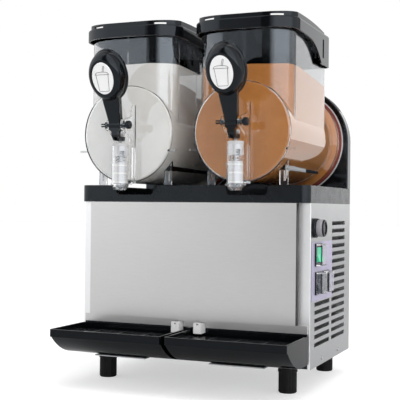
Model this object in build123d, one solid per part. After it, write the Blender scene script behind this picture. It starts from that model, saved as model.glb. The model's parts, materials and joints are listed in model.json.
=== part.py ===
from build123d import *
import math
import os

# Twin-bowl slush machine, millimetres. X runs across the front, Y runs to the back, Z is up.
# Shapes are drawn with Y = 0 at the side panels' front edge and X = 0 midway between the
# bowls. save() then moves them so that the origin is the middle of the footprint, on the
# surface that the feet stand on.

# Cabinet
HALF_WIDTH = 200.0
DEPTH = 250.0
CABINET_BOTTOM = 39.5
BAND_BOTTOM = 297.75
BAND_TOP = 325.4
DECK_TOP = 306.0
BAND_FRONT = -14.0
BAND_RIM = 6.0
SHEET = 1.2
FLANGE = 19.5
FRONT_PANEL_BOTTOM = 108.0
RAIL_BOTTOM = 95.0
REAR_WRAP = 15.6
JOINT_GAP = 0.3

# Feet
FOOT_X = 160.0
FOOT_FRONT_Y = 15.0
FOOT_REAR_Y = 234.0
FOOT_RADIUS = 14.5

# Bowls
BOWL_X = 98.7
AXIS_Z = 408.4
BOWL_FRONT = -43.0
BARREL_RADIUS = 80.4
BARREL_WALL = 2.4
FLARE_START = 205.0
FLARE_RADIUS = 88.0
BOWL_REAR = 222.0
HOPPER_HALF = 78.2
HOPPER_FRONT = -41.0
HOPPER_REAR = 166.0
HOPPER_TOP = 580.0
HOPPER_CORNER = (46.0, 30.0)
HOPPER_REAR_CORNER = 10.0

# Lids
LID_HALF = 86.0
LID_WALL = 3.0
LID_FRONT = -50.5
LID_REAR = 170.0
LID_CORNER = (52.0, 36.0)
LID_TOP = 583.5
LID_EAR_BOTTOM = 531.0
SKIRT_BOTTOM = 566.0
CREST_TOP = 592.5

# Cooling drum and stirring screw
DRUM_RADIUS = 55.0
DRUM_FRONT = -28.0
DRUM_REAR = 236.0
SHAFT_RADIUS = 5.0
RUNNING_GAP = 0.06
BUSH_RADIUS = 8.0
SCREW_INNER = 57.0
SCREW_OUTER = 74.0
SCREW_FRONT = -36.0
SCREW_REAR = 205.0
SCREW_TURNS = 3
SCREW_RING = 0.6

# Rear housing and motors
HOUSING_FRONT = 232.0
HOUSING_WALL = 2.5
ARCH_RADIUS = 101.0
MOTOR_COVER_REAR = 288.0

# Tap
PIVOT_Y = -80.0
PIVOT_Z = 419.0
LEVER_LEAN = 21.0
GRIP_HEIGHT = 80.0
GRIP_FRONT = -17.5
TUBE_Y = -64.0
TUBE_RADIUS = 14.0
TUBE_BORE = 11.8
TUBE_TOP = 386.0
TUBE_SEAT = 325.0
NOZZLE_BOTTOM = 316.0
PIN_RADIUS = 3.0
EAR_INNER = 11.5
EAR_OUTER = 16.0
STEM_RADIUS = 2.2
PISTON_BOTTOM = 326.4
PISTON_TOP = 360.0
CAP_SKIRT = 369.4
CROSSBAR_Z = PIVOT_Z - 13.5

# Drip trays
TRAY_FRONT = -113.0
TRAY_REAR = -3.0
TRAY_RIM = 92.5
TRAY_BOTTOM = 48.5
TRAY_INNER_X = 3.8
TRAY_OUTER_X = 198.0
TRAY_WALL = 2.5
GRID_FRONT = -103.0
GRID_REAR = -22.5
GRID_BOTTOM = 81.0
GRID_TOP = 84.0

# Louvres of the side panels
SLOT_PITCH = 12.7
SLOT_HEIGHT = 6.6
SLOT_FIRST_TOP = 268.5
SLOT_ROWS = 16
SHORT_ROWS = 6
REAR_COLUMN = (127.0, 214.0)
FRONT_COLUMN = (24.0, 114.0)

# Controls on the right side panel
KNOB_Y = 17.0
KNOB_Z = 259.0
KNOB_RADIUS = 15.3
KNOB_FACE = 218.5
SWITCH_HALF = 18.0
SWITCH_HOLE = 14.0
MAIN_SWITCH = (36.0, 216.6)
BOWL_SWITCHES = {"left": (38.0, 171.8), "right": (80.0, 171.8)}
ROCKER_REST = -10.0

# Cooling unit
FAN_Y = 165.0
FAN_Z = 140.0
FAN_RADIUS = 62.0
COMPRESSOR_X = -105.0
COMPRESSOR_Y = 150.0

# Fixings
SCREW_HEAD = 1.6
SIDE_SCREWS = (67.6, 170.0)
SIDE_SCREW_Z = 49.5
COVER_SCREWS = ((170.0, 345.0), (60.0, 480.0))

SIDES = {"left": -1, "right": 1}


def block(x0, x1, y0, y1, z0, z1):
    """A box between two opposite corners."""
    centre = Pos((x0 + x1) / 2, (y0 + y1) / 2, (z0 + z1) / 2)
    return centre * Box(abs(x1 - x0), abs(y1 - y0), abs(z1 - z0))


def rod_x(radius, x0, x1, y, z):
    """A cylinder along X."""
    return Pos((x0 + x1) / 2, y, z) * Rot(0, 90, 0) * Cylinder(radius, abs(x1 - x0))


def rod_y(radius, y0, y1, x, z):
    """A cylinder along Y."""
    return Pos(x, (y0 + y1) / 2, z) * Rot(90, 0, 0) * Cylinder(radius, abs(y1 - y0))


def rod_z(radius, z0, z1, x, y):
    """A cylinder along Z."""
    return Pos(x, y, (z0 + z1) / 2) * Cylinder(radius, abs(z1 - z0))


def tower(half, y0, y1, z0, z1, corner, rear_radius):
    """An upright block about X = 0 with elliptical front corners and round rear corners."""
    across, along = corner
    plan = Pos(0, (y0 + y1) / 2) * Rectangle(2 * half, y1 - y0)
    for s in (-1, 1):
        plan -= Pos(s * half, y0) * Rectangle(2 * across, 2 * along)
    for s in (-1, 1):
        plan += Pos(s * (half - across), y0 + along) * Ellipse(across, along)
    body = Pos(0, 0, z0) * extrude(plan, z1 - z0)
    return fillet(body.edges().filter_by(Axis.Z).group_by(Axis.Y)[-1], rear_radius)


def shrunk(corner, wall):
    """Radii of a corner on the inner side of a wall."""
    return corner[0] - wall, corner[1] - wall


def slab_x(outline, x0, x1):
    """A closed outline of lines and arcs in Y and Z, stretched from x0 to x1."""
    face = Plane.YZ.offset(x0) * make_face(outline)
    return extrude(face, x1 - x0)


def polygon_x(points, x0, x1):
    """A polygon in Y and Z, stretched from x0 to x1."""
    return slab_x(Polyline(*points, close=True), x0, x1)


def turned(points):
    """A solid of revolution about the Y axis from points (radius, y)."""
    return revolve(make_face(Polyline(*points, close=True)), Axis.Y)


def footprint_middle():
    """Middle of the footprint, between the outermost faces of the knob, screws, grips and back."""
    grip_front = tap_lever(1).bounding_box().min.Y
    return (KNOB_FACE - HALF_WIDTH - SCREW_HEAD) / 2, (grip_front + MOTOR_COVER_REAR) / 2


def save(name, shape, middle):
    """Write one sub-part, moved to the origin at the middle of the footprint."""
    placed = Pos(-middle[0], -middle[1], 0) * shape
    placed.label = name
    export_step(placed, os.path.join("parts", name + ".step"))


# Cabinet ---------------------------------------------------------------------------------

def base_pan():
    """Folded floor pan, with two tongues that carry the drip trays."""
    floor_z = CABINET_BOTTOM + 1.5
    pan = block(-198.5, 198.5, 2, 248.4, CABINET_BOTTOM, 60)
    pan -= block(-197, 197, 3.5, 246.9, floor_z, 61)
    for side in SIDES.values():
        tongue = block(side * 55, side * 145, -58, 5, TRAY_BOTTOM - 1.9, TRAY_BOTTOM - JOINT_GAP)
        pan += tongue + block(side * 55, side * 145, 3.5, 5, floor_z - 0.5, TRAY_BOTTOM - JOINT_GAP)
        for y in (FOOT_FRONT_Y, FOOT_REAR_Y):
            pan -= rod_z(4.2, 30, 50, side * FOOT_X, y)
        for y in SIDE_SCREWS:
            pan -= rod_x(1.7, side * 190, side * 210, y, SIDE_SCREW_Z)
    return pan


def foot(x, y):
    """Ribbed rubber foot with its fixing stud."""
    body = rod_z(FOOT_RADIUS, 0, 34, x, y)
    body = chamfer(body.edges().group_by(Axis.Z)[0], 1.5)
    for i in range(18):
        angle = math.radians(20 * i)
        groove_x = x + (FOOT_RADIUS + 0.3) * math.cos(angle)
        groove_y = y + (FOOT_RADIUS + 0.3) * math.sin(angle)
        body -= rod_z(1.1, 3, 32, groove_x, groove_y)
    body += rod_z(FOOT_RADIUS + 1, 33, 37, x, y)
    body += rod_z(FOOT_RADIUS + 0.2, 36, CABINET_BOTTOM, x, y)
    return body + rod_z(4, 36, 47, x, y)


def feet():
    places = [(s * FOOT_X, y) for s in SIDES.values() for y in (FOOT_FRONT_Y, FOOT_REAR_Y)]
    return Compound([foot(x, y) for x, y in places])


def louvres(side):
    """Slot openings and the slanted blades behind them, for one side panel."""
    openings = []
    blades = []
    columns = [(REAR_COLUMN, 0), (FRONT_COLUMN, SLOT_ROWS - SHORT_ROWS)]
    for (y0, y1), first_row in columns:
        for row in range(first_row, SLOT_ROWS):
            top = SLOT_FIRST_TOP - row * SLOT_PITCH
            openings.append(block(side * 195, side * 205, y0, y1, top - SLOT_HEIGHT, top))
            blade = block(-9, 0.3, y0 - 1, y1 + 1, -0.5, 0.5)
            slope = -38 if side > 0 else 38
            if side < 0:
                blade = block(-0.3, 9, y0 - 1, y1 + 1, -0.5, 0.5)
            inner_face = side * (HALF_WIDTH - SHEET)
            blades.append(Pos(inner_face, 0, top + 0.9) * Rot(0, slope, 0) * blade)
    return openings, blades


def side_panel(side):
    """Side sheet folded round the front corner, with pressed louvres."""
    outer = side * HALF_WIDTH
    inner = side * (HALF_WIDTH - SHEET)
    rear = DEPTH - REAR_WRAP - JOINT_GAP
    panel = block(inner, outer, 0, rear, CABINET_BOTTOM, BAND_BOTTOM)
    panel += block(side * (HALF_WIDTH - FLANGE), outer, 0, SHEET, CABINET_BOTTOM, BAND_BOTTOM)
    corner = panel.edges().filter_by(Axis.Z).filter_by_position(Axis.Y, -0.1, 0.1)
    corner = corner.filter_by_position(Axis.X, outer - 0.1, outer + 0.1)
    panel = fillet(corner, 1.1)
    openings, blades = louvres(side)
    panel -= openings
    panel += blades
    for y in SIDE_SCREWS:
        panel -= rod_x(1.7, side * 190, side * 210, y, SIDE_SCREW_Z)
    if side > 0:
        for y, z in [MAIN_SWITCH, *BOWL_SWITCHES.values()]:
            hole = SWITCH_HOLE + 0.3
            panel -= block(190, 210, y - hole, y + hole, z - hole, z + hole)
        panel -= rod_x(5.2, 190, 210, KNOB_Y, KNOB_Z)
    return panel


def front_panel():
    """Stainless front cover, folded back at both sides and at the bottom."""
    half = HALF_WIDTH - FLANGE
    top = BAND_BOTTOM - JOINT_GAP
    cover = block(-half, half, BAND_FRONT, -0.2, FRONT_PANEL_BOTTOM, top)
    return cover - block(-half + SHEET, half - SHEET, BAND_FRONT + SHEET, 1, FRONT_PANEL_BOTTOM + SHEET, top + 1)


def lower_front_rail():
    return block(-196, 196, -2, -0.2, RAIL_BOTTOM, FRONT_PANEL_BOTTOM - 0.5)


def kick_panel():
    """Dark panel behind the trays, with a middle rib that keeps them apart."""
    panel = block(-196, 196, -1.6, -0.2, 41.2, RAIL_BOTTOM - 0.2)
    for side in SIDES.values():
        panel -= block(side * 54, side * 146, -5, 1, TRAY_BOTTOM - 2.4, TRAY_BOTTOM)
    return panel + block(-3.4, 3.4, -12, -1.5, 86, RAIL_BOTTOM - 0.2)


def rear_panel():
    """Back sheet, wrapped round both rear corners, with vent slots."""
    panel = block(-HALF_WIDTH, HALF_WIDTH, DEPTH - REAR_WRAP, DEPTH, CABINET_BOTTOM, BAND_BOTTOM)
    inside = HALF_WIDTH - SHEET
    panel -= block(-inside, inside, 200, DEPTH - SHEET, CABINET_BOTTOM - 1, BAND_BOTTOM + 1)
    for column in (-1, 0, 1):
        for row in range(9):
            z = 110 + row * 16
            panel -= block(column * 105 - 42, column * 105 + 42, 240, 260, z, z + 6)
    return panel - rod_y(6.2, 240, 260, -150, 72)


def top_cover():
    """Moulded top with a sunken deck, and a notch in the front rim below each bowl."""
    cover = block(-HALF_WIDTH, HALF_WIDTH, BAND_FRONT, DEPTH, BAND_BOTTOM, BAND_TOP)
    cover = fillet(cover.edges().filter_by(Axis.Z).group_by(Axis.Y)[0], 13.5)
    cover = fillet(cover.edges().group_by(Axis.Z)[-1], 1.5)
    inside = HALF_WIDTH - BAND_RIM
    sunken = block(-inside, inside, BAND_FRONT + BAND_RIM, HOUSING_FRONT, DECK_TOP, 340)
    sunken = fillet(sunken.edges().filter_by(Axis.Z).group_by(Axis.Y)[0], 8)
    cover -= sunken
    cover -= block(-inside, inside, BAND_FRONT + BAND_RIM, DEPTH - BAND_RIM, 290, DECK_TOP - 3)
    for side in SIDES.values():
        notch = [(-36, 330), (-33.6, 313), (-30, 309.5), (30, 309.5), (33.6, 313), (36, 330)]
        face = Plane.XZ * make_face(Polyline(*notch, close=True))
        cutter = Pos(side * BOWL_X, 0, 0) * extrude(face, 30)
        cover -= cutter & block(-250, 250, BAND_FRONT - 1, BAND_FRONT + BAND_RIM + 0.5, 300, 340)
    return cover


# Rear housing ----------------------------------------------------------------------------

def arches(radius, y0, y1, bottom, half):
    """Two arches side by side on straight walls."""
    shape = block(-half, half, y0, y1, bottom, AXIS_Z)
    for side in SIDES.values():
        shape += rod_y(radius, y0, y1, side * BOWL_X, AXIS_Z)
    return shape & block(-half, half, y0 - 1, y1 + 1, bottom, 700)


def rear_housing():
    """Arched shell behind the bowls, open at the back, with a hole for each drum."""
    half = BOWL_X + ARCH_RADIUS
    shell = arches(ARCH_RADIUS, HOUSING_FRONT, DEPTH, BAND_TOP, half)
    shell = fillet(shell.edges().group_by(Axis.Y)[0].filter_by(GeomType.CIRCLE), 2)
    inner = ARCH_RADIUS - HOUSING_WALL
    shell -= arches(inner, HOUSING_FRONT + HOUSING_WALL, DEPTH + 1, BAND_TOP - 1, half - HOUSING_WALL)
    for side in SIDES.values():
        shell -= rod_y(DRUM_RADIUS + 0.1, HOUSING_FRONT - 1, 240, side * BOWL_X, AXIS_Z)
    return shell


def motor_cover():
    """Back cover of the housing, with a vented bulge round the gear motors."""
    half = BOWL_X + ARCH_RADIUS
    cover = arches(ARCH_RADIUS, DEPTH, DEPTH + 2, BAND_TOP, half)
    bulge = block(-150, 150, DEPTH, MOTOR_COVER_REAR, 335, 470)
    bulge = fillet(bulge.edges().filter_by(Axis.Y), 14)
    bulge = fillet(bulge.edges().group_by(Axis.Y)[-1], 6)
    cover += bulge
    hollow = block(-147.6, 147.6, DEPTH - 1, MOTOR_COVER_REAR - 2.4, 337.4, 467.6)
    cover -= fillet(hollow.edges().filter_by(Axis.Y), 11.6)
    for side in SIDES.values():
        for row in range(7):
            z = 362 + row * 13
            x = side * 80
            cover -= block(x - 45, x + 45, MOTOR_COVER_REAR - 5, MOTOR_COVER_REAR + 1, z, z + 5)
        for x, z in COVER_SCREWS:
            cover -= rod_y(1.9, DEPTH - 1, DEPTH + 3, side * x, z)
    return cover


def seal_plates():
    """White discs on the housing that the bowl gaskets seat on."""
    discs = []
    for side in SIDES.values():
        disc = rod_y(92.5, 229, HOUSING_FRONT - 0.1, side * BOWL_X, AXIS_Z)
        discs.append(disc - rod_y(DRUM_RADIUS + 0.1, 220, 240, side * BOWL_X, AXIS_Z))
    return Compound(discs)


def bowl_gaskets():
    """Soft rings that the rear rim of each bowl presses on."""
    lip = BOWL_REAR + JOINT_GAP
    points = [(80, 229), (80, lip + 1), (82, lip), (89, lip), (90.8, lip + 3), (90.8, 229)]
    return Compound([Pos(side * BOWL_X, 0, AXIS_Z) * turned(points) for side in SIDES.values()])


# Cooling drum, stirring screw and its drive ------------------------------------------------

def evaporator(side):
    """Closed stainless drum with a bush seat at each end and a rear fixing flange."""
    x = side * BOWL_X
    drum = rod_y(DRUM_RADIUS, DRUM_FRONT, DRUM_REAR, x, AXIS_Z)
    drum = fillet(drum.edges().group_by(Axis.Y)[0], 4)
    drum -= rod_y(DRUM_RADIUS - 4, DRUM_FRONT + 5, DRUM_REAR - 5, x, AXIS_Z)
    drum += rod_y(70, HOUSING_FRONT + HOUSING_WALL + 0.1, DRUM_REAR, x, AXIS_Z)
    return drum - rod_y(BUSH_RADIUS, -60, 260, x, AXIS_Z)


def shaft_bushings():
    """Plain bushes that carry the two shafts at the front and the back of each drum."""
    bushes = []
    for side in SIDES.values():
        x = side * BOWL_X
        for y0 in (DRUM_FRONT, DRUM_REAR - 12):
            bush = rod_y(BUSH_RADIUS, y0, y0 + 12, x, AXIS_Z)
            bushes.append(bush - rod_y(SHAFT_RADIUS + RUNNING_GAP, y0 - 1, y0 + 13, x, AXIS_Z))
    return Compound(bushes)


def auger(side):
    """Stirring screw: a ribbon round the drum between a spoked front ring and a rear ring."""
    height = SCREW_REAR - SCREW_FRONT - 4
    radius = (SCREW_INNER + SCREW_OUTER) / 2
    path = Helix(height / SCREW_TURNS, height, radius)
    section = Plane(origin=path @ 0, x_dir=(1, 0, 0), z_dir=path % 0)
    ribbon = sweep(section * Rectangle(SCREW_OUTER - SCREW_INNER, 4), path, is_frenet=True)
    screw = Pos(0, SCREW_FRONT + 2, 0) * Rot(-90, 0, 0) * ribbon
    for y0 in (SCREW_FRONT, SCREW_REAR - 5):
        ring = rod_y(SCREW_OUTER + SCREW_RING, y0, y0 + 5, 0, 0)
        screw += ring - rod_y(SCREW_INNER - SCREW_RING, y0 - 1, y0 + 6, 0, 0)
    hub = rod_y(14, SCREW_FRONT, DRUM_FRONT - 0.6, 0, 0)
    for i in range(3):
        spoke = block(-5, 5, SCREW_FRONT, SCREW_FRONT + 5, 8, SCREW_INNER + 4)
        hub += Rot(0, 120 * i + 60, 0) * spoke
    screw = screw + hub - rod_y(SHAFT_RADIUS, -60, 0, 0, 0)
    return Pos(side * BOWL_X, 0, AXIS_Z) * screw


def auger_shaft(side):
    """Steel shaft from the gear motor through the drum to the screw's hub."""
    shaft = rod_y(SHAFT_RADIUS, SCREW_FRONT - 1, 262, side * BOWL_X, AXIS_Z)
    return chamfer(shaft.edges().group_by(Axis.Y)[0], 1)


def gearmotor(side):
    """Flat worm gearbox behind the drum, with its motor lying across the machine."""
    x = side * BOWL_X
    box = block(x - 38, x + 38, DRUM_REAR + 0.3, 281, 366, 452)
    box = fillet(box.edges().filter_by(Axis.Y), 10)
    motor = rod_x(23.2, side * 8, side * 62, 260.5, 391)
    motor += rod_x(19, side * 5, side * 9, 260.5, 391)
    return box + motor - rod_y(SHAFT_RADIUS + RUNNING_GAP, 230, 264, x, AXIS_Z)


# Bowl ------------------------------------------------------------------------------------

def barrel_outside():
    points = [(0, BOWL_FRONT), (BARREL_RADIUS, BOWL_FRONT), (BARREL_RADIUS, FLARE_START),
              (FLARE_RADIUS, FLARE_START + 9), (FLARE_RADIUS, BOWL_REAR), (0, BOWL_REAR)]
    body = turned(points)
    return Pos(0, 0, AXIS_Z) * fillet(body.edges().group_by(Axis.Y)[0], 4.2)


def barrel_inside():
    inner = BARREL_RADIUS - BARREL_WALL
    flare = FLARE_RADIUS - BARREL_WALL
    front = BOWL_FRONT + 3
    points = [(0, front), (inner, front), (inner, FLARE_START + 1.5),
              (flare, FLARE_START + 10.5), (flare, BOWL_REAR + 5), (0, BOWL_REAR + 5)]
    body = turned(points)
    return Pos(0, 0, AXIS_Z) * fillet(body.edges().group_by(Axis.Y)[0], 2.5)


def bowl_stand():
    """Front legs, side runners and side tabs below the barrel."""
    stand = block(-87, 87, BOWL_FRONT, BOWL_FRONT + 5, 378.5, 381.5)
    for s in (-1, 1):
        x0, x1 = sorted((s * 54, s * 62.5))
        stand += polygon_x([(-13, 349), (-13, 357), (176, 354), (176, 349.5)], x0, x1)
        stand += block(s * 54, s * 67, -13, -8, BAND_TOP + JOINT_GAP, 364)
        x0, x1 = sorted((s * 60, s * 62.5))
        stand += polygon_x([(-9, 331), (-9, 352), (14, 352)], x0, x1)
    return stand


def tap_body():
    """Tap tube on the front face, with two side fins that carry the lever's ears."""
    tap = rod_z(TUBE_RADIUS, NOZZLE_BOTTOM + 8, TUBE_TOP, 0, TUBE_Y)
    tap += Pos(0, TUBE_Y, NOZZLE_BOTTOM + 4) * Cone(10.5, 14, 8)
    for z in (NOZZLE_BOTTOM + 7.5, 354):
        tap += rod_z(TUBE_RADIUS + 1.7, z, z + 3, 0, TUBE_Y)
    tap += block(-9, 9, TUBE_Y + 8, BOWL_FRONT + 1, TUBE_SEAT, TUBE_TOP)
    back = BOWL_FRONT + 1
    fin = [(-58, 327), (-58, 446), (-47, 454), (back, 454), (back, 327)]
    ear = [(PIVOT_Y, PIVOT_Z + 9), (-56, 434), (back, 434), (back, 398), (-56, 398), (PIVOT_Y, PIVOT_Z - 9)]
    for s in (-1, 1):
        x0, x1 = sorted((s * EAR_INNER, s * EAR_OUTER))
        tap += polygon_x(fin, x0, x1) + polygon_x(ear, x0, x1)
        tap += rod_x(9, x0, x1, PIVOT_Y, PIVOT_Z)
    return tap


def tap_passages():
    """Bore, outlet, side port and pin holes of the tap."""
    holes = rod_z(TUBE_BORE, TUBE_SEAT, TUBE_TOP + 1, 0, TUBE_Y)
    holes += rod_z(8.5, NOZZLE_BOTTOM - 1, TUBE_SEAT + 1, 0, TUBE_Y)
    holes += block(-6, 6, TUBE_Y, BOWL_FRONT + 8, 331.5, 337)
    return holes + rod_x(PIN_RADIUS, -30, 30, PIVOT_Y, PIVOT_Z)


def bowl(side):
    """Clear bowl: barrel, upright hopper, stand and tap body in one moulding."""
    hopper = tower(HOPPER_HALF, HOPPER_FRONT, HOPPER_REAR, AXIS_Z, HOPPER_TOP,
                   HOPPER_CORNER, HOPPER_REAR_CORNER)
    wall = BARREL_WALL
    well = tower(HOPPER_HALF - wall, HOPPER_FRONT + wall, HOPPER_REAR - wall, AXIS_Z,
                 HOPPER_TOP + 10, shrunk(HOPPER_CORNER, wall), HOPPER_REAR_CORNER - wall)
    shell = barrel_outside() + hopper + bowl_stand() + tap_body()
    shell = shell - barrel_inside() - well - tap_passages()
    return Pos(side * BOWL_X, 0, 0) * shell


def lid(side):
    """Drop-on lid with a rear skirt that reaches down, and a raised grip rim on top."""
    cap = tower(LID_HALF, LID_FRONT, LID_REAR, LID_EAR_BOTTOM, LID_TOP, LID_CORNER, 18)
    cap = fillet(cap.edges().group_by(Axis.Z)[-1], 3)
    wall = LID_WALL
    cap -= tower(LID_HALF - wall, LID_FRONT + wall, LID_REAR - wall, 500, LID_TOP - 3.2,
                 shrunk(LID_CORNER, wall), 15)
    edge = Polyline((-60, 500), (-60, SKIRT_BOTTOM), (40, SKIRT_BOTTOM - 4))
    edge += ThreePointArc((40, SKIRT_BOTTOM - 4), (82, 550), (108, LID_EAR_BOTTOM))
    edge += Polyline((108, LID_EAR_BOTTOM), (108, 500), (-60, 500))
    cap -= slab_x(edge, -100, 100)
    rim = tower(82, -45, 152, LID_TOP - 2, LID_TOP + 12, (48, 31), 16)
    rim -= tower(77.5, -40.5, 147.5, LID_TOP - 5, LID_TOP + 15, (43.5, 26.5), 11.5)
    crest = Polyline((-46, LID_TOP - 3), (-46, CREST_TOP - 2.5))
    crest += ThreePointArc((-46, CREST_TOP - 2.5), (40, CREST_TOP), (153, LID_TOP + 2))
    crest += Polyline((153, LID_TOP + 2), (153, LID_TOP - 3), (-46, LID_TOP - 3))
    cap += rim & slab_x(crest, -100, 100)
    for s in (-1, 1):
        cap -= block(s * 46, s * 66, -48, -28, LID_TOP + 0.3, LID_TOP + 3.9)
        cap -= block(s * 80, s * 90, 114, 122, 541, 572)
    return Pos(side * BOWL_X, 0, 0) * cap


# Tap parts -------------------------------------------------------------------------------

def at_pivot(side):
    return Pos(side * BOWL_X, PIVOT_Y, PIVOT_Z)


def lever_grip():
    """Oval rim with a dome rising from it towards the front."""
    rim = extrude(Plane.XZ * Ellipse(31.9, 41.5), -10)
    rim = fillet(rim.edges(), 4.4)
    steps = [(3, 29.8, 39.2), (-6, 29.6, 38.4), (-13, 27.0, 34.8), (GRIP_FRONT, 20.0, 27.0)]
    dome = loft([Plane.XZ.offset(-y) * Ellipse(across, up) for y, across, up in steps])
    return Pos(0, 0, GRIP_HEIGHT) * (rim + dome)


def tap_lever(side):
    """Lever with an oval grip above the pivot and a forked toe below it."""
    neck = [(-9.5, 0), (9.5, 0), (15.5, 50), (-15.5, 50)]
    shank = extrude(Plane.XZ * make_face(Polyline(*neck, close=True)), 7, both=True)
    shank = fillet(shank.edges().filter_by(Axis.Y, reverse=True).filter_by(Axis.X, reverse=True), 3)
    upper = Rot(LEVER_LEAN, 0, 0) * (lever_grip() + shank)
    toe = [(-7, 0), (4.5, 0), (4.5, -17.5), (20, -17.5), (20, -22), (17.5, -24.5), (1, -24.5), (-6.5, -16)]
    sole = [(-9.5, 0), (9.5, 0), (9.5, -7.5), (5.6, -10.5), (5.6, -26), (-5.6, -26), (-5.6, -10.5), (-9.5, -7.5)]
    sole = make_face(Polyline(*sole, close=True))
    lower = polygon_x(toe, -9.5, 9.5) & extrude(Plane.XZ * sole, 40, both=True)
    lower += rod_x(8.5, -9.5, 9.5, 0, 0)
    lower -= block(-2.7, 2.7, -3.8, 30, -40, -8.8)
    lever = upper + lower - rod_x(PIN_RADIUS + RUNNING_GAP, -30, 30, 0, 0)
    return at_pivot(side) * lever


def lever_badge(side):
    """Oval insert on the front of the grip."""
    plate = extrude(Plane.XZ * Ellipse(18, 25), 1.6)
    plate = fillet(plate.edges().group_by(Axis.Y)[0], 0.5)
    return at_pivot(side) * Rot(LEVER_LEAN, 0, 0) * Pos(0, GRIP_FRONT, GRIP_HEIGHT) * plate


def lever_pin(side):
    """Hinge pin with a round knob at one end and split prongs at the other."""
    pin = rod_x(PIN_RADIUS, -26, 18, 0, 0)
    knob = rod_x(6.5, 17.5, 26, 0, 0)
    pin += fillet(knob.edges(), 2.5)
    pin -= block(-30, -19, -5, 5, -0.8, 0.8)
    return at_pivot(side) * pin


def tap_piston(side):
    """Plunger with two seal grooves, a stem and the cross-bar that the toe lifts."""
    y = TUBE_Y
    piston = rod_z(TUBE_BORE - 0.4, PISTON_BOTTOM, PISTON_TOP, 0, y)
    for z in seal_levels():
        piston -= rod_z(20, z, z + 2.4, 0, y) - rod_z(9.9, z - 1, z + 3, 0, y)
    piston += rod_z(STEM_RADIUS, PISTON_TOP - 1, CROSSBAR_Z, 0, y)
    piston += rod_x(3, -5.6, 5.6, y, CROSSBAR_Z)
    return Pos(side * BOWL_X, 0, 0) * piston


def seal_levels():
    return (PISTON_BOTTOM + 0.8, 341.5, 354)


def piston_seals(side):
    """Rings in the plunger's grooves."""
    rings = []
    for z in seal_levels():
        ring = rod_z(TUBE_BORE - 0.08, z + 0.1, z + 2.3, side * BOWL_X, TUBE_Y)
        rings.append(ring - rod_z(9.95, z - 1, z + 3, side * BOWL_X, TUBE_Y))
    return Compound(rings)


def tap_cap(side):
    """Cap that closes the tap tube round the stem, with a slotted skirt round the spring."""
    cap = rod_z(TUBE_RADIUS - 1.5, TUBE_TOP + 0.05, TUBE_TOP + 5, 0, TUBE_Y)
    cap = fillet(cap.edges().group_by(Axis.Z)[-1], 1)
    cap += rod_z(TUBE_BORE - 0.1, CAP_SKIRT, TUBE_TOP + 1, 0, TUBE_Y)
    cap -= rod_z(TUBE_BORE - 1.7, CAP_SKIRT - 1, TUBE_TOP - 3, 0, TUBE_Y)
    for i in range(4):
        slot = block(5, 15, -3.6, 3.6, CAP_SKIRT - 1, CAP_SKIRT + 9)
        cap -= Pos(0, TUBE_Y, 0) * Rot(0, 0, 90 * i + 38) * slot
    cap -= rod_z(STEM_RADIUS + 0.4, 370, 400, 0, TUBE_Y)
    return Pos(side * BOWL_X, 0, 0) * cap


def tap_spring(side):
    """Compression spring between the plunger and the cap."""
    wire = 0.75
    bottom = PISTON_TOP + wire + 0.1
    height = TUBE_TOP - 3 - wire - 0.1 - bottom
    path = Helix(height / 5, height, 7)
    section = Plane(origin=path @ 0, z_dir=path % 0)
    coil = sweep(section * Circle(wire), path, is_frenet=True)
    return Pos(side * BOWL_X, TUBE_Y, bottom) * coil


# Drip trays ------------------------------------------------------------------------------

def drip_tray(side):
    """Tray with an upright lip, a scooped underside and a low notch below the drain spout."""
    outside = Polyline((TRAY_REAR, TRAY_RIM), (TRAY_FRONT, TRAY_RIM), (TRAY_FRONT, 80.5), (-107, 79.5))
    outside += ThreePointArc((-107, 79.5), (-77, 58), (-45, TRAY_BOTTOM))
    outside += Polyline((-45, TRAY_BOTTOM), (TRAY_REAR, TRAY_BOTTOM), (TRAY_REAR, TRAY_RIM))
    front, rear = TRAY_FRONT + TRAY_WALL, TRAY_REAR - TRAY_WALL
    floor = TRAY_BOTTOM + TRAY_WALL
    inside = Polyline((rear, 100), (front, 100), (front, 83.2), (-105.6, 82.2))
    inside += ThreePointArc((-105.6, 82.2), (-76, 60.8), (-45, floor))
    inside += Polyline((-45, floor), (rear, floor), (rear, 100))
    tray = slab_x(outside, TRAY_INNER_X, TRAY_OUTER_X)
    tray = fillet(tray.edges().filter_by(Axis.Z).group_by(Axis.Y)[0], 3)
    tray -= slab_x(inside, TRAY_INNER_X + TRAY_WALL, TRAY_OUTER_X - TRAY_WALL)
    for x in (TRAY_INNER_X + 1, TRAY_OUTER_X - 4):
        tray += block(x, x + 4, -98, GRID_REAR, 77.5, GRID_BOTTOM - JOINT_GAP)
    tray -= block(8, 32, rear - 1, 0, GRID_TOP + 0.5, 100)
    return tray if side > 0 else mirror(tray, Plane.YZ)


def drip_grid(side):
    """Slotted grid with cross ribs that a cup stands on."""
    x0, x1 = TRAY_INNER_X + TRAY_WALL + 0.6, TRAY_OUTER_X - TRAY_WALL - 0.6
    grid = block(x0, x1, GRID_FRONT, GRID_REAR, GRID_BOTTOM, GRID_TOP)
    grid = fillet(grid.edges().filter_by(Axis.Z), 3)
    cell = (x1 - x0 - 8) / 4
    slots = []
    for column in range(4):
        left = x0 + 4 + column * cell
        for row in range(8):
            y = GRID_FRONT + 6 + row * 9.4
            slots.append(block(left + 5, left + cell - 5, y, y + 4.6, GRID_BOTTOM - 1, GRID_TOP + 1))
    grid -= slots
    for column in range(5):
        x = x0 + 4 + column * cell
        grid += block(x - 1.5, x + 1.5, GRID_FRONT + 3, GRID_REAR - 3, GRID_TOP - 0.5, GRID_TOP + 1.4)
    return grid if side > 0 else mirror(grid, Plane.YZ)


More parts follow.
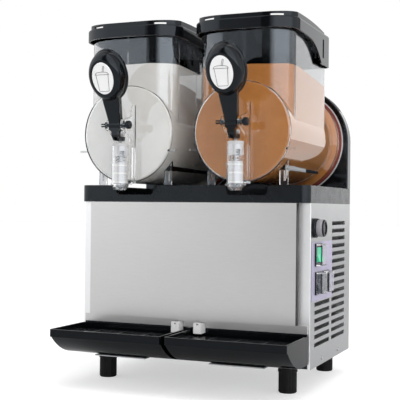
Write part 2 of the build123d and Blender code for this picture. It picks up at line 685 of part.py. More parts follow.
def drain_spouts():
    """Two small chutes that lead condensation from the deck into the trays."""
    spouts = []
    for side in SIDES.values():
        spout = block(side * 12.8, side * 26.3, -21, -2.1, 87.2, 104)
        spout -= block(side * 14.6, side * 24.5, -19.2, -1, 86, 102.2)
        spout -= block(side * 17.5, side * 21.6, -22, -18, 101, 105)
        spouts.append(spout)
    return Compound(spouts)


# Controls --------------------------------------------------------------------------------

def control_plate():
    """Plate on the right side panel that carries the switches."""
    plate = block(HALF_WIDTH + 0.05, HALF_WIDTH + 1.2, 4, 124, 144, 237)
    plate = fillet(plate.edges().filter_by(Axis.X), 3)
    for y, z in [MAIN_SWITCH, *BOWL_SWITCHES.values()]:
        hole = SWITCH_HOLE + 0.3
        plate -= block(190, 210, y - hole, y + hole, z - hole, z + hole)
    return plate


def switch_frame(y, z):
    """Snap-in switch housing with a square bezel."""
    face = HALF_WIDTH + 1.3
    frame = block(face, face + 2.5, y - SWITCH_HALF, y + SWITCH_HALF, z - SWITCH_HALF, z + SWITCH_HALF)
    frame = fillet(frame.edges().group_by(Axis.X)[-1], 0.8)
    frame += block(176, face + 1, y - SWITCH_HOLE, y + SWITCH_HOLE, z - SWITCH_HOLE, z + SWITCH_HOLE)
    well = SWITCH_HOLE - 1.6
    return frame - block(face - 9, face + 5, y - well, y + well, z - well, z + well)


def switch_frames():
    return Compound([switch_frame(y, z) for y, z in [MAIN_SWITCH, *BOWL_SWITCHES.values()]])


def rocker(y, z):
    """Rocker that tips about a horizontal axis, resting tipped to one side."""
    half = SWITCH_HOLE - 1.6 - 0.4
    key = [(-half + 1, -4), (half - 1, -4), (half - 0.6, 3.6), (0, 1.6), (-half + 0.6, 3.6)]
    face = Plane.XZ * make_face(Polyline(*[(x, h) for h, x in key], close=True))
    body = extrude(face, half, both=True)
    return Pos(HALF_WIDTH + 2.4, y, z) * Rot(0, ROCKER_REST, 0) * body


def switch_cover(y, z):
    """Clear splash cover over one switch."""
    face = HALF_WIDTH + 3.9
    half = SWITCH_HALF - 1
    cover = block(face, face + 8.5, y - half, y + half, z - half, z + half)
    cover = fillet(cover.edges().group_by(Axis.X)[-1], 3)
    return cover - block(face - 1, face + 7, y - half + 1.5, y + half - 1.5, z - half + 1.5, z + half - 1.5)


def switch_covers():
    return Compound([switch_cover(y, z) for y, z in [MAIN_SWITCH, *BOWL_SWITCHES.values()]])


def thermostat():
    """Thermostat behind the side panel, with its bush and spindle."""
    inner = HALF_WIDTH - SHEET
    body = block(168, inner - 0.1, KNOB_Y - 13, KNOB_Y + 13, KNOB_Z - 14, KNOB_Z + 14)
    body += rod_x(5, inner - 1, HALF_WIDTH + 0.4, KNOB_Y, KNOB_Z)
    return body + rod_x(3, HALF_WIDTH, 211, KNOB_Y, KNOB_Z)


def thermostat_knob():
    """Drum-shaped knob on a wider skirt, with a pointer rib on the skirt and a hollow face."""
    back = HALF_WIDTH + 0.8
    knob = rod_x(KNOB_RADIUS, back, 206, KNOB_Y, KNOB_Z)
    knob = fillet(knob.edges().group_by(Axis.X)[-1], 2)
    drum = rod_x(KNOB_RADIUS - 2.1, 205, KNOB_FACE, KNOB_Y, KNOB_Z)
    drum = fillet(drum.edges().group_by(Axis.X)[-1], 1.6)
    knob += drum - rod_x(KNOB_RADIUS - 5.5, KNOB_FACE - 1.5, KNOB_FACE + 1, KNOB_Y, KNOB_Z)
    knob += block(204, 208.5, KNOB_Y - 1.2, KNOB_Y + 1.2, KNOB_Z + 10, KNOB_Z + 14.6)
    return knob - rod_x(3 + RUNNING_GAP, back - 1, 212, KNOB_Y, KNOB_Z)


# Cooling unit ------------------------------------------------------------------------------

def compressor():
    """Sealed compressor on its mounting plate and rubber grommets."""
    x, y = COMPRESSOR_X, COMPRESSOR_Y
    can = rod_z(56, 54, 190, x, y)
    can = fillet(can.edges(), 18)
    can += rod_z(59, 118, 122, x, y)
    can += block(x - 68, x + 68, y - 50, y + 50, 50, 56)
    for sx in (-1, 1):
        for sy in (-1, 1):
            can += rod_z(9, 41.1, 51, x + sx * 56, y + sy * 40)
    return can


def condenser():
    """Finned condenser block behind the right louvres."""
    coil = block(138, 172, 102, 228, 46, 228)
    fins = [block(134, 146, 106, 224, 52 + i * 11.4, 57 + i * 11.4) for i in range(15)]
    feet_pads = block(140, 170, 110, 220, 41.1, 47)
    return coil - fins + feet_pads


def fan_motor():
    """Fan motor with its shaft, on an upright bracket."""
    motor = rod_x(28, 60, 95, FAN_Y, FAN_Z)
    motor = fillet(motor.edges(), 4)
    motor += rod_x(3, 94, 122, FAN_Y, FAN_Z)
    motor += block(66, 72, FAN_Y - 18, FAN_Y + 18, 41.1, FAN_Z)
    return motor + block(52, 86, FAN_Y - 18, FAN_Y + 18, 41.1, 45)


def fan_blade():
    """Five-bladed fan on the motor shaft."""
    fan = rod_x(17, 104, 124, FAN_Y, FAN_Z)
    for i in range(5):
        vane = block(-9, 9, -17, 17, 14, FAN_RADIUS)
        vane = vane & Rot(0, 0, 62) * block(-30, 30, -1, 1, 0, 80)
        fan += Pos(114, FAN_Y, FAN_Z) * Rot(72 * i, 0, 0) * vane
    return fan - rod_x(3 + RUNNING_GAP, 100, 130, FAN_Y, FAN_Z)


def control_box():
    """Closed box for the wiring."""
    box = block(-22, 44, 30, 100, 41.1, 128)
    box = fillet(box.edges().filter_by(Axis.Z), 4)
    return box + block(-24, 46, 28, 102, 118, 121)


def cord_gland():
    """Strain-relief gland where the supply cord enters at the back."""
    gland = rod_y(9, DEPTH, DEPTH + 5, -150, 72)
    gland += rod_y(6, DEPTH - 10, DEPTH + 1, -150, 72)
    gland += rod_y(7, DEPTH + 4, DEPTH + 16, -150, 72)
    gland += rod_y(8.5, DEPTH - SHEET - 5, DEPTH - SHEET - 0.1, -150, 72)
    return gland - rod_y(4, 230, 280, -150, 72)


def panel_screws():
    """Round-headed screws of the side panels and the motor cover."""
    screws = []
    for side in SIDES.values():
        for y in SIDE_SCREWS:
            head = rod_x(3.2, side * HALF_WIDTH, side * (HALF_WIDTH + SCREW_HEAD), y, SIDE_SCREW_Z)
            screws.append(head + rod_x(1.6, side * 191, side * (HALF_WIDTH + 0.5), y, SIDE_SCREW_Z))
        for x, z in COVER_SCREWS:
            head = rod_y(3.5, DEPTH + 2, DEPTH + 2 + SCREW_HEAD, side * x, z)
            screws.append(head + rod_y(1.8, DEPTH - 8, DEPTH + 2.5, side * x, z))
    return Compound(screws)


def main():
    os.makedirs("parts", exist_ok=True)
    middle = footprint_middle()
    single = [base_pan, feet, front_panel, lower_front_rail, kick_panel, rear_panel, top_cover,
              rear_housing, motor_cover, seal_plates, bowl_gaskets, shaft_bushings, drain_spouts,
              control_plate, switch_frames, switch_covers, thermostat, thermostat_knob,
              compressor, condenser, fan_motor, fan_blade, control_box, cord_gland, panel_screws]
    for make in single:
        save(make.__name__, make(), middle)
    paired = [side_panel, evaporator, auger, auger_shaft, gearmotor, bowl, lid, tap_lever,
              lever_badge, lever_pin, tap_piston, piston_seals, tap_cap, tap_spring,
              drip_tray, drip_grid]
    for make in paired:
        for word, side in SIDES.items():
            save(make.__name__ + "_" + word, make(side), middle)
    save("main_switch_rocker", rocker(*MAIN_SWITCH), middle)
    for word, (y, z) in BOWL_SWITCHES.items():
        save("bowl_switch_rocker_" + word, rocker(y, z), middle)


main()
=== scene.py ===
import json
import math

import bmesh
import bpy
from mathutils import Matrix, Vector, noise


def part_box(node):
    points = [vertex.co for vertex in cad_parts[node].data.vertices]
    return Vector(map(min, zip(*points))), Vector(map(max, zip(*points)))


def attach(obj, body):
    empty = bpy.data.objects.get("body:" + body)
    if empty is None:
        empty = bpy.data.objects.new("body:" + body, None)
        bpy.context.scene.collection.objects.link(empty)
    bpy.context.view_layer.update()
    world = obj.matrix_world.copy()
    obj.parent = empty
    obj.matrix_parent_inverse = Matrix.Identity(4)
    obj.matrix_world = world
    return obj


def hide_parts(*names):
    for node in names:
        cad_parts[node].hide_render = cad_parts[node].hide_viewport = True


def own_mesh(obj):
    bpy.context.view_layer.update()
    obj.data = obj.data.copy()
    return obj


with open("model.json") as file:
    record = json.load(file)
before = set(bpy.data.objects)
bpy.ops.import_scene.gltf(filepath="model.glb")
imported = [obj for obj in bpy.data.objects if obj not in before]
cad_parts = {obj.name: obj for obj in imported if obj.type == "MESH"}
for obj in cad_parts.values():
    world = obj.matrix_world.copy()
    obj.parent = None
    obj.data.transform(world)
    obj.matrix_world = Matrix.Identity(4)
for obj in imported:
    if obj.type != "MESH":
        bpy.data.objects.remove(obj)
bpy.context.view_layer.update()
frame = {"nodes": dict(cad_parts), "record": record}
nodes = frame["nodes"]
SIDES = {"left": -1, "right": 1}


def middle_x(name):
    low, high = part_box(name)
    return (low.x + high.x) / 2


# Machine datum: middle of the front cover in X, front edge of the side panels in Y, the floor in Z.
DATUM = Vector((middle_x("front_panel"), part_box("side_panel_right")[0].y, 0))
BOWL_X_MM = (middle_x("evaporator_right") - DATUM.x) * 1000
AXIS_Z_MM = 408.4


def at(x, y, z):
    """A point in the row frame from millimetres off the machine datum."""
    return DATUM + Vector((x, y, z)) / 1000


# Camera ------------------------------------------------------------------------------------

def make_camera():
    """The photograph's viewing angle."""
    yaw, pitch, roll = math.radians(22.94), math.radians(0.51), math.radians(-0.58)
    forward = Vector((-math.sin(yaw) * math.cos(pitch), math.cos(yaw) * math.cos(pitch), math.sin(pitch)))
    side = Vector((math.cos(yaw), math.sin(yaw), 0))
    above = side.cross(forward)
    right = side * math.cos(roll) - above * math.sin(roll)
    up = above * math.cos(roll) + side * math.sin(roll)
    data = bpy.data.cameras.new("camera")
    data.sensor_width = 36
    data.lens = 82.3
    data.clip_end = 60
    camera = bpy.data.objects.new("camera", data)
    bpy.context.scene.collection.objects.link(camera)
    turn = Matrix((right, up, -forward)).transposed().to_4x4()
    camera.matrix_world = Matrix.Translation(at(592.2, -1367.3, 288.2)) @ turn
    bpy.context.scene.camera = camera


make_camera()
bpy.context.scene.view_settings.view_transform = "Standard"


# Materials ---------------------------------------------------------------------------------

class Look:
    """A procedural material in the making, with noise in the object's own metres."""

    def __init__(self, name, color, rough, **sockets):
        self.material = bpy.data.materials.new(name)
        self.material.use_nodes = True
        self.tree = self.material.node_tree
        self.bsdf = next(n for n in self.tree.nodes if n.type == "BSDF_PRINCIPLED")
        self.bsdf.inputs["Base Color"].default_value = (*color, 1)
        self.bsdf.inputs["Roughness"].default_value = rough
        for key, value in sockets.items():
            self.bsdf.inputs[key.replace("_", " ")].default_value = value
        self.coords = self.tree.nodes.new("ShaderNodeTexCoord")
        self.place = self.coords.outputs["Object"]
        self.normal = None

    def node(self, kind, **inputs):
        made = self.tree.nodes.new("ShaderNode" + kind)
        for key, value in inputs.items():
            socket = made.inputs[key.replace("_", " ")]
            if isinstance(value, bpy.types.NodeSocket):
                self.tree.links.new(value, socket)
            else:
                socket.default_value = value
        return made

    def noise(self, scale, stretch=(1, 1, 1), detail=3.0, rough=0.5):
        spot = self.node("Mapping", Vector=self.place, Scale=stretch).outputs[0]
        return self.node("TexNoise", Vector=spot, Scale=scale, Detail=detail, Roughness=rough).outputs[0]

    def cells(self, scale, stretch=(1, 1, 1)):
        spot = self.node("Mapping", Vector=self.place, Scale=stretch).outputs[0]
        return self.node("TexVoronoi", Vector=spot, Scale=scale)

    def tint(self, value, low, high, start=0.3, end=0.7):
        ramp = self.tree.nodes.new("ShaderNodeValToRGB")
        ramp.color_ramp.elements[0].position = start
        ramp.color_ramp.elements[1].position = end
        ramp.color_ramp.elements[0].color = (*low, 1)
        ramp.color_ramp.elements[1].color = (*high, 1)
        self.tree.links.new(value, ramp.inputs[0])
        self.tree.links.new(ramp.outputs[0], self.bsdf.inputs["Base Color"])
        return self

    def gloss(self, value, low, high, start=0.3, end=0.7):
        span = self.node("MapRange", Value=value, From_Min=start, From_Max=end, To_Min=low, To_Max=high)
        self.tree.links.new(span.outputs[0], self.bsdf.inputs["Roughness"])
        return self

    def paint_light_by_facing(self, axis, sign, factor):
        """Painted light and shade: scale the colour of the faces that look along one axis, to stand in for
        how the light falls on them.
        """
        facing = self.tree.nodes.new("ShaderNodeSeparateXYZ")
        self.tree.links.new(self.coords.outputs["Normal"], facing.inputs[0])
        scale = self.node("MapRange", Value=facing.outputs[axis], From_Min=0.6 * sign, From_Max=0.8 * sign,
                          To_Min=1, To_Max=factor)
        color = self.bsdf.inputs["Base Color"]
        made = self.node("VectorMath", Vector=color.links[0].from_socket)
        made.operation = "SCALE"
        self.tree.links.new(scale.outputs[0], made.inputs["Scale"])
        self.tree.links.new(made.outputs[0], color)
        return self

    def let_light_through(self, color):
        """Straight passage for shadow and diffuse rays, so that what lies behind stays lit."""
        clear = self.tree.nodes.new("ShaderNodeBsdfTransparent")
        clear.inputs["Color"].default_value = (*color, 1)
        path = self.tree.nodes.new("ShaderNodeLightPath")
        link = self.tree.links.new
        surface = self.bsdf.outputs[0]
        for kind in ("Is Shadow Ray", "Is Diffuse Ray"):
            mix = self.tree.nodes.new("ShaderNodeMixShader")
            link(path.outputs[kind], mix.inputs[0])
            link(surface, mix.inputs[1])
            link(clear.outputs[0], mix.inputs[2])
            surface = mix.outputs[0]
        out = next(n for n in self.tree.nodes if n.type == "OUTPUT_MATERIAL")
        link(surface, out.inputs["Surface"])
        return self

    def bump(self, value, depth, strength=1.0):
        made = self.node("Bump", Height=value, Distance=depth, Strength=strength)
        if self.normal is not None:
            self.tree.links.new(self.normal, made.inputs["Normal"])
        self.normal = made.outputs[0]
        self.tree.links.new(self.normal, self.bsdf.inputs["Normal"])
        return self


# Bluish tint painted into the reflections of the glossy black and clear plastics, in place of cool light.
COOL_PAINTED_REFLECTION = (0.80, 0.90, 1.0, 1)


def brushed(name, along, low, high, rough):
    """Sheet steel with a fine grain along one axis and faint handling marks."""
    look = Look(name, high, rough, Metallic=1.0, Anisotropic=0.35)
    stretch = [0.02 if axis == along else 1 for axis in range(3)]
    grain = look.noise(2600, stretch, detail=2)
    cloud = look.noise(7, detail=3)
    look.tint(grain, low, high)
    look.gloss(cloud, rough - 0.03, rough + 0.04)
    look.bump(grain, 0.000004, 0.5)
    return look


def moulded(name, low, high, rough, spread=0.06, grain=0.00002, ior=1.5, tint=(1, 1, 1, 1)):
    """Moulded plastic with slightly uneven gloss and a fine surface grain."""
    look = Look(name, high, rough, IOR=ior, Specular_Tint=tint)
    cloud = look.noise(22, detail=4)
    look.tint(cloud, low, high)
    look.gloss(look.noise(60, detail=5), rough - spread, rough + spread)
    look.bump(look.noise(2600, detail=2), grain)
    return look.material


def slush(name, low, high):
    """Half-frozen drink: soft grain over larger streaks drawn out by the stirring screw."""
    look = Look(name, high, 0.45, Subsurface_Weight=0.12, Subsurface_Radius=(0.006, 0.004, 0.003), IOR=1.2)
    streak = look.noise(34, (1, 0.35, 1), detail=6, rough=0.6)
    look.tint(streak, low, high, 0.25, 0.75)
    look.bump(look.noise(190, detail=5, rough=0.65), 0.0008, 0.5)
    look.bump(look.cells(900).outputs["Distance"], 0.0002, 0.35)
    return look.material


def clear_plastic(name, color, rough, weight=1.0):
    look = Look(name, color, rough, Transmission_Weight=weight, IOR=1.58, Specular_Tint=COOL_PAINTED_REFLECTION)
    look.bump(look.noise(14, detail=2), 0.0004, 0.25)
    look.let_light_through((0.98, 0.98, 0.98))
    return look.material


def galvanised():
    look = Look("galvanised_sheet", (0.45, 0.46, 0.47), 0.42, Metallic=0.9)
    spangle = look.cells(120)
    look.tint(spangle.outputs["Distance"], (0.36, 0.37, 0.38), (0.52, 0.53, 0.54), 0.1, 0.9)
    look.gloss(spangle.outputs["Distance"], 0.3, 0.55, 0.0, 0.8)
    return look.material


def finned():
    """Thin aluminium fins packed along Z."""
    look = Look("coil_fins", (0.5, 0.5, 0.51), 0.4, Metallic=0.8)
    spot = look.node("Mapping", Vector=look.place, Scale=(1, 1, 1)).outputs[0]
    wave = look.node("TexWave", Vector=spot, Scale=160.0, Distortion=0.3)
    wave.bands_direction = "Z"
    look.tint(wave.outputs["Fac"], (0.12, 0.12, 0.13), (0.62, 0.62, 0.63), 0.2, 0.8)
    look.bump(wave.outputs["Fac"], 0.001, 0.8)
    return look.material


def lens():
    glow = {"Emission_Color": (0.02, 0.6, 0.28, 1), "Emission_Strength": 0.35}
    look = Look("green_lens", (0.02, 0.5, 0.24), 0.18, **glow)
    look.tint(look.noise(160), (0.012, 0.38, 0.17), (0.03, 0.55, 0.27))
    look.gloss(look.noise(90), 0.12, 0.25)
    return look.material


def make_materials():
    front = brushed("front_steel", 0, (0.67, 0.665, 0.66), (0.71, 0.705, 0.70), 0.34)
    # Side and rear panels: the front's stainless painted darker as shade, with the faces that look to the
    # front painted 1.75 times lighter as light.
    side = brushed("side_steel_painted_shade", 1, (0.54, 0.545, 0.55), (0.585, 0.59, 0.595), 0.34)
    mats = {
        "stainless": front.material,
        "stainless_side_painted_shade": side.paint_light_by_facing("Y", -1, 1.75).material,
        "steel": brushed("turned_steel", 1, (0.5, 0.5, 0.51), (0.66, 0.66, 0.67), 0.25).material,
        "bright_steel": brushed("bright_steel", 2, (0.62, 0.62, 0.63), (0.78, 0.78, 0.79), 0.14).material,
        "galvanised": galvanised(),
        "black_gloss": moulded("black_gloss", (0.0025, 0.003, 0.0038), (0.0045, 0.005, 0.006), 0.08, 0.03,
                               0.000003, 1.4, COOL_PAINTED_REFLECTION),
        "black_satin": moulded("black_satin", (0.004, 0.0045, 0.0055), (0.007, 0.008, 0.009), 0.26, 0.05,
                               0.00001, 1.4, COOL_PAINTED_REFLECTION),
        "tray": moulded("tray_black", (0.002, 0.0023, 0.0026), (0.003, 0.0035, 0.004), 0.10, 0.03,
                        0.000003, 1.3, COOL_PAINTED_REFLECTION),
        "clear": clear_plastic("clear_bowl", (0.965, 0.972, 0.975), 0.015),
        "cover": clear_plastic("clear_cover", (0.93, 0.93, 0.96), 0.03),
        "knob_band": moulded("knob_band", (0.26, 0.25, 0.27), (0.30, 0.29, 0.31), 0.22, 0.05),
        "white_plastic": moulded("white_plastic", (0.52, 0.52, 0.53), (0.60, 0.60, 0.605), 0.3),
        "badge": moulded("badge_white", (0.90, 0.90, 0.90), (0.95, 0.95, 0.95), 0.22, 0.03, 0.000003),
        "grey_plastic": moulded("lilac_plate", (0.40, 0.37, 0.50), (0.48, 0.45, 0.58), 0.4),
        "gasket_red": moulded("gasket_silicone", (0.12, 0.022, 0.016), (0.17, 0.035, 0.026), 0.45, 0.08,
                              0.00003, 1.3),
        "rubber_black": moulded("rubber", (0.003, 0.003, 0.0034), (0.006, 0.006, 0.0065), 0.5, 0.1,
                                0.00005, 1.3),
        "spout": moulded("spout_white", (0.74, 0.74, 0.735), (0.82, 0.82, 0.81), 0.3),
        "grid": moulded("grid_black", (0.008, 0.0085, 0.0095), (0.013, 0.014, 0.015), 0.16, 0.04,
                        0.00001, 1.7),
        "seal_white": moulded("seal_white", (0.7, 0.7, 0.68), (0.8, 0.8, 0.78), 0.5),
        "bronze": brushed("bronze", 1, (0.42, 0.28, 0.15), (0.56, 0.39, 0.22), 0.3).material,
        "motor_grey": moulded("motor_enamel", (0.16, 0.165, 0.17), (0.22, 0.225, 0.23), 0.45, 0.1, 0.0001),
        "compressor_black": moulded("compressor_enamel", (0.012, 0.012, 0.013), (0.022, 0.022, 0.023), 0.3,
                                    0.08, 0.0001),
        "coil_aluminium": finned(),
        "green_lens": lens(),
        "slush_left": slush("slush_white", (0.64, 0.625, 0.595), (0.73, 0.72, 0.69)),
        "slush_right": slush("slush_caramel", (0.37, 0.142, 0.035), (0.46, 0.195, 0.056)),
        "strip": moulded("edge_strip", (0.035, 0.034, 0.033), (0.05, 0.049, 0.048), 0.65, 0.08, 0.00004),
        "line": moulded("printed_line", (0.02, 0.02, 0.022), (0.035, 0.035, 0.038), 0.4),
    }
    return mats


LOOKS = make_materials()
SLOTS = {m["node"]: m["material_slot"] for m in frame["record"]["subparts"]}
SPECIAL = {
    "side_panel_left": "stainless_side_painted_shade", "side_panel_right": "stainless_side_painted_shade", "rear_panel": "stainless_side_painted_shade",
    "lever_badge_left": "badge", "lever_badge_right": "badge", "switch_covers": "cover",
    "drip_tray_left": "tray", "drip_tray_right": "tray", "drain_spouts": "spout",
    "drip_grid_left": "grid", "drip_grid_right": "grid",
}


def dress_nodes():
    for name, obj in nodes.items():
        look = LOOKS[SPECIAL.get(name, SLOTS[name])]
        for place in obj.material_slots:
            place.material = look


dress_nodes()


# Mesh helpers ------------------------------------------------------------------------------

def add_object(name, mesh, look, smooth=True):
    obj = bpy.data.objects.new(name, mesh)
    bpy.context.scene.collection.objects.link(obj)
    mesh.materials.append(LOOKS[look])
    if smooth:
        mesh.polygons.foreach_set("use_smooth", [True] * len(mesh.polygons))
    return obj


def from_bmesh(name, bm, look):
    mesh = bpy.data.meshes.new(name)
    bmesh.ops.recalc_face_normals(bm, faces=bm.faces)
    bm.to_mesh(mesh)
    bm.free()
    return add_object(name, mesh, look)


def apply_modifiers(obj):
    """The object's mesh with its modifiers worked in."""
    graph = bpy.context.evaluated_depsgraph_get()
    mesh = bpy.data.meshes.new_from_object(obj.evaluated_get(graph))
    obj.modifiers.clear()
    old, obj.data = obj.data, mesh
    bpy.data.meshes.remove(old)
    return obj


def combine(obj, other, how):
    """Boolean of two closed meshes; the other object is used up."""
    cut = obj.modifiers.new("cut", "BOOLEAN")
    cut.operation = how
    cut.solver = "EXACT"
    cut.object = other
    apply_modifiers(obj)
    bpy.data.objects.remove(other)
    return obj


def lathe_y(name, profile, centre, look, steps=160):
    """A closed profile of (radius, y) turned about the Y axis through centre."""
    bm = bmesh.new()
    rings = []
    for r, y in profile:
        if r < 1e-6:
            rings.append([bm.verts.new((0, y, 0))])
        else:
            angles = [2 * math.pi * i / steps for i in range(steps)]
            rings.append([bm.verts.new((r * math.sin(a), y, r * math.cos(a))) for a in angles])
    for one, two in zip(rings, rings[1:] + rings[:1]):
        if len(one) == 1 and len(two) == 1:
            continue
        for i in range(steps):
            j = (i + 1) % steps
            corner = [one[i % len(one)], one[j % len(one)], two[j % len(two)], two[i % len(two)]]
            bm.faces.new(list(dict.fromkeys(corner)))
    bmesh.ops.scale(bm, vec=(0.001,) * 3, verts=bm.verts)
    bmesh.ops.translate(bm, vec=centre, verts=bm.verts)
    return from_bmesh(name, bm, look)


def plan_outline(half, front, rear, across, along, rear_radius, steps=14):
    """Rectangle with elliptical front and round rear corners, seen from above, in millimetres."""
    corners = [(half - across, front + along, across, along, -90),
               (half - rear_radius, rear - rear_radius, rear_radius, rear_radius, 0),
               (-half + rear_radius, rear - rear_radius, rear_radius, rear_radius, 90),
               (-half + across, front + along, across, along, 180)]
    points = []
    for x, y, rx, ry, start in corners:
        for i in range(steps + 1):
            a = math.radians(start + 90 * i / steps)
            points.append((x + rx * math.cos(a), y + ry * math.sin(a)))
    return points


def prism(name, outline, z0, z1, centre_x, look):
    bm = bmesh.new()
    low = [bm.verts.new(at(centre_x + x, y, z0)) for x, y in outline]
    high = [bm.verts.new(at(centre_x + x, y, z1)) for x, y in outline]
    bm.faces.new(low[::-1])
    bm.faces.new(high)
    for i in range(len(low)):
        j = (i + 1) % len(low)
        bm.faces.new((low[i], low[j], high[j], high[i]))
    return from_bmesh(name, bm, look)


# Drink -------------------------------------------------------------------------------------

def surface_cutter(centre_x, front_level, rear_level, seed):
    """A block whose uneven underside is the top of the drink."""
    columns, rows = 44, 56
    half, front, rear = 90, -55, 180
    bm = bmesh.new()
    grid = []
    for r in range(rows + 1):
        line = []
        for c in range(columns + 1):
            x = -half + 2 * half * c / columns
            y = front + (rear - front) * r / rows
            t = min(max((y + 41) / 207, 0), 1)
            z = front_level + (rear_level - front_level) * t ** 1.6
            z += 1.3 * noise.fractal(Vector((x * 0.022 + seed, y * 0.022, 0)), 1.0, 2.0, 4)
            line.append(bm.verts.new(at(centre_x + x, y, z)))
        grid.append(line)
    for r in range(rows):
        for c in range(columns):
            bm.faces.new((grid[r][c], grid[r + 1][c], grid[r + 1][c + 1], grid[r][c + 1]))
    edge = [grid[0][c] for c in range(columns + 1)] + [grid[r][columns] for r in range(1, rows + 1)]
    edge += [grid[rows][c] for c in range(columns - 1, -1, -1)] + [grid[r][0] for r in range(rows - 1, 0, -1)]
    top = [bm.verts.new((v.co.x, v.co.y, 0.62)) for v in edge]
    for i in range(len(edge)):
        j = (i + 1) % len(edge)
        bm.faces.new((edge[i], edge[j], top[j], top[i]))
    bm.faces.new(top)
    return from_bmesh("cutter", bm, "line")


def make_drink(word, side, front_level, rear_level):
    """Drink between the bowl's wall and the stirring screw, and up into the hopper."""
    x = side * BOWL_X_MM
    axis = at(x, 0, AXIS_Z_MM)
    bore = 75.2
    profile = [(0, -39.6), (75.6, -39.6), (77.0, -38.9), (77.6, -37.4), (77.6, 206.3), (85.2, 215.3),
               (85.2, 221.6), (bore, 221.6), (bore, -37.35), (0, -37.35)]
    drink = lathe_y("drink_" + word, profile, axis, "slush_" + word)
    well = prism("well", plan_outline(75.4, -38.2, 163.2, 43.2, 27.2, 7.2), AXIS_Z_MM + 12, 560, x, "line")
    hollow = lathe_y("hollow", [(0, -37.35), (bore, -37.35), (bore, 300), (0, 300)], axis, "line")
    combine(well, hollow, "DIFFERENCE")
    combine(well, surface_cutter(x, front_level, rear_level, 3.7 * side), "DIFFERENCE")
    combine(drink, well, "UNION")
    drink.data.materials.clear()
    drink.data.materials.append(LOOKS["slush_" + word])
    drink.data.shade_smooth()
    drink.data.set_sharp_from_angle(angle=math.radians(40))
    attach(drink, "bowl_" + word + "_body")
    return drink


make_drink("left", -1, 522, 508)
make_drink("right", 1, 511.5, 497.5)


# Drawn lines -------------------------------------------------------------------------------

def draw_lines(name, strokes, radius, resolution, look, capped=False):
    """A mesh of round lines through lists of points in the row frame."""
    curve = bpy.data.curves.new(name, "CURVE")
    curve.dimensions = "3D"
    curve.bevel_depth = radius
    curve.bevel_resolution = resolution
    curve.use_fill_caps = capped
    for stroke in strokes:
        line = curve.splines.new("POLY")
        line.points.add(len(stroke) - 1)
        for spot, where in zip(line.points, stroke):
            spot.co = (*where, 1)
    drawn = bpy.data.objects.new("draft", curve)
    bpy.context.scene.collection.objects.link(drawn)
    bpy.context.view_layer.update()
    mesh = bpy.data.meshes.new_from_object(drawn.evaluated_get(bpy.context.evaluated_depsgraph_get()))
    bpy.data.objects.remove(drawn)
    return add_object(name, mesh, look)


# Cup mark on the lever badges ---------------------------------------------------------------

def cup_strokes():
    """Lines of a lidded cup with a straw, in millimetres from the badge's middle."""
    body = [(-10.6, 6.0), (-8.4, -19.2), (-7.4, -20.2), (7.4, -20.2), (8.4, -19.2), (10.6, 6.0)]
    rim = [(-12.2, 6.0), (12.2, 6.0)]
    dome = [(-11.8, 6.4), (-10.2, 8.6), (-6.5, 9.8), (0, 10.2), (6.5, 9.8), (10.2, 8.6), (11.8, 6.4)]
    straw = [(1.2, 10.2), (3.6, 18.6), (4.4, 19.4), (5.4, 19.2), (5.6, 18.2), (3.2, 10.1)]
    return [body, rim, dome, straw]


def make_cup_mark(word):
    badge = nodes["lever_badge_" + word]
    low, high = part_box(badge.name)
    lean = math.radians(21)
    outward = Vector((0, -math.cos(lean), -math.sin(lean)))
    upward = Vector((0, -math.sin(lean), math.cos(lean)))
    middle = (low + high) / 2
    face = max(v.co.dot(outward) for v in badge.data.vertices)
    middle += outward * (face - middle.dot(outward) + 0.00005)
    strokes = [[middle + Vector((across / 1000, 0, 0)) + upward * (up / 1000) for across, up in stroke]
               for stroke in cup_strokes()]
    mark = draw_lines("cup_mark_" + word, strokes, 0.00033, 2, "line")
    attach(mark, "lever_" + word + "_body")


for word in SIDES:
    make_cup_mark(word)


# Tap springs ---------------------------------------------------------------------------------

def make_spring(word):
    """Coil between the plunger and the cap, with closed end turns."""
    low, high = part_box("tap_spring_" + word)
    wire = 0.00072
    turns, steps = 5.6, 40
    closed_share = 0.09
    radius = (high.x - low.x) / 2 - wire
    bottom, top = low.z + wire, high.z - wire
    count = int(turns * steps)
    coil = []
    for i in range(count + 1):
        t = i / count
        rise = min(max((t - closed_share) / (1 - 2 * closed_share), 0), 1)
        angle = 2 * math.pi * turns * t
        x = (low.x + high.x) / 2 + radius * math.cos(angle)
        y = (low.y + high.y) / 2 + radius * math.sin(angle)
        coil.append((x, y, bottom + (top - bottom) * (0.06 * t + 0.94 * rise)))
    spring = draw_lines("spring_" + word, [coil], wire, 3, "bright_steel", capped=True)
    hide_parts("tap_spring_" + word)
    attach(spring, "bowl_" + word + "_body")
    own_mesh(spring)


for word in SIDES:
    make_spring(word)


# Dark strips beside the front cover ---------------------------------------------------------

def make_cover_strips():
    low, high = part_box("front_panel")
    for word, side in SIDES.items():
        x = (high.x + 0.0002) if side > 0 else (low.x - 0.0002)
        centre = Vector((x, (low.y + high.y) / 2, (low.z + high.z) / 2))
        size = Vector((0.0004, high.y - low.y - 0.0012, high.z - low.z - 0.0004))
        bm = bmesh.new()
        bmesh.ops.create_cube(bm, size=1, matrix=Matrix.Translation(centre) @ Matrix.Diagonal((*size, 1)))
        bmesh.ops.bevel(bm, geom=bm.edges[:], offset=0.00012, segments=2, affect="EDGES")
        strip = from_bmesh("cover_strip_" + word, bm, "strip")
        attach(strip, "chassis")


make_cover_strips()


# Grey band round the thermostat knob -------------------------------------------------------

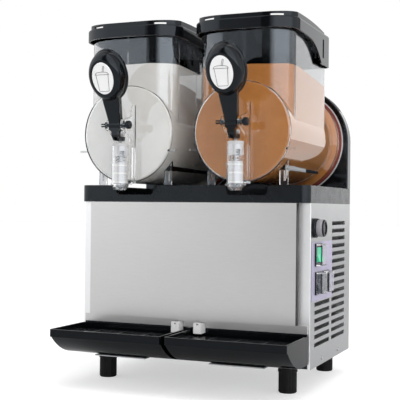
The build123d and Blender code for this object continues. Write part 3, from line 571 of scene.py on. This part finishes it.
def make_knob_band():
    low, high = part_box("thermostat_knob")
    middle = (low + high) / 2
    radius = (high.z - low.z) * 500 - 2.1
    skirt, face = low.x + 0.0058, high.x - 0.0022
    length = (face - skirt) * 1000
    profile = [(radius - 0.5, 0), (radius + 0.35, 0.5), (radius + 0.6, length / 2),
               (radius + 0.35, length - 0.5), (radius - 0.5, length)]
    band = lathe_y("knob_band", profile, (0, 0, 0), "knob_band", 72)
    place = Matrix.Translation((skirt, middle.y, middle.z))
    band.data.transform(place @ Matrix.Rotation(-math.pi / 2, 4, "Z"))
    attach(band, "knob_body")


make_knob_band()


# Studio ------------------------------------------------------------------------------------

def make_floor():
    bm = bmesh.new()
    bmesh.ops.create_circle(bm, cap_ends=True, cap_tris=False, segments=96, radius=14.0)
    look = Look("floor_white", (0.62, 0.62, 0.62), 0.8)
    look.tint(look.noise(3), (0.61, 0.61, 0.61), (0.62, 0.62, 0.62))
    path = look.tree.nodes.new("ShaderNodeLightPath")
    glow = look.tree.nodes.new("ShaderNodeMath")
    glow.operation = "MULTIPLY"
    glow.inputs[1].default_value = 0.5
    look.tree.links.new(path.outputs["Is Camera Ray"], glow.inputs[0])
    look.bsdf.inputs["Emission Color"].default_value = (1, 1, 1, 1)
    look.tree.links.new(glow.outputs[0], look.bsdf.inputs["Emission Strength"])
    LOOKS["floor"] = look.material
    floor = from_bmesh("floor", bm, "floor")


def make_world():
    """Pale all round to the camera; in reflections a studio with darker and lighter zones."""
    world = bpy.data.worlds.new("studio")
    bpy.context.scene.world = world
    world.use_nodes = True
    tree = world.node_tree
    tree.nodes.clear()
    link = tree.links.new
    place = tree.nodes.new("ShaderNodeTexCoord").outputs["Generated"]
    split = tree.nodes.new("ShaderNodeSeparateXYZ")
    link(place, split.inputs[0])
    turn = tree.nodes.new("ShaderNodeMath")
    turn.operation = "ARCTAN2"
    ahead = tree.nodes.new("ShaderNodeMath")
    ahead.operation = "MULTIPLY"
    ahead.inputs[1].default_value = -1
    link(split.outputs["Y"], ahead.inputs[0])
    link(split.outputs["X"], turn.inputs[0])
    link(ahead.outputs[0], turn.inputs[1])
    span = tree.nodes.new("ShaderNodeMapRange")
    span.inputs["From Min"].default_value = -math.pi
    span.inputs["From Max"].default_value = math.pi
    link(turn.outputs[0], span.inputs[0])
    ramp = tree.nodes.new("ShaderNodeValToRGB")
    link(span.outputs[0], ramp.inputs[0])
    # Azimuth from straight ahead of the machine, positive towards its right, and brightness.
    stops = [(-180, 0.4), (-120, 0.9), (-90, 1.8), (-50, 2.2), (-30, 2.0), (-26, 1.7), (-23, 0.8), (-19, 0.5),
             (-17, 0.05), (1, 0.05), (6, 1.0), (18, 3.2), (75, 3.2), (86, 1.7), (125, 1.2), (142, 0.25)]
    items = ramp.color_ramp.elements
    for i, (azimuth, value) in enumerate(stops):
        where = (azimuth + 180) / 360
        item = items[i] if i < len(items) and i < 1 else items.new(where)
        item.position = where
        item.color = (value * 0.4, value * 0.4, value * 0.404, 1)
    rise = tree.nodes.new("ShaderNodeMapRange")
    for key, number in (("From Min", 0.0), ("From Max", 0.8), ("To Min", 2.1), ("To Max", 1.4)):
        rise.inputs[key].default_value = number
    link(split.outputs["Z"], rise.inputs[0])
    zone = tree.nodes.new("ShaderNodeBackground")
    link(ramp.outputs[0], zone.inputs["Color"])
    link(rise.outputs[0], zone.inputs["Strength"])
    pale = tree.nodes.new("ShaderNodeBackground")
    pale.inputs["Color"].default_value = (1, 1, 1, 1)
    pale.inputs["Strength"].default_value = 1.0
    path = tree.nodes.new("ShaderNodeLightPath")
    mix = tree.nodes.new("ShaderNodeMixShader")
    link(path.outputs["Is Camera Ray"], mix.inputs[0])
    link(zone.outputs[0], mix.inputs[1])
    link(pale.outputs[0], mix.inputs[2])
    out = tree.nodes.new("ShaderNodeOutputWorld")
    link(mix.outputs[0], out.inputs[0])


def add_softbox(name, place, aim, width, height, power):
    data = bpy.data.lights.new(name, "AREA")
    data.shape = "RECTANGLE"
    data.size, data.size_y = width, height
    data.energy = power
    lamp = bpy.data.objects.new(name, data)
    bpy.context.scene.collection.objects.link(lamp)
    lamp.location = place
    lamp.rotation_mode = "QUATERNION"
    lamp.rotation_quaternion = (Vector(aim) - Vector(place)).to_track_quat("-Z", "Y")
    lamp.visible_camera = False
    lamp.visible_glossy = False


make_floor()
make_world()
add_softbox("overhead", (0.1, -0.2, 2.6), (0, 0, 0.3), 2.2, 1.8, 22)
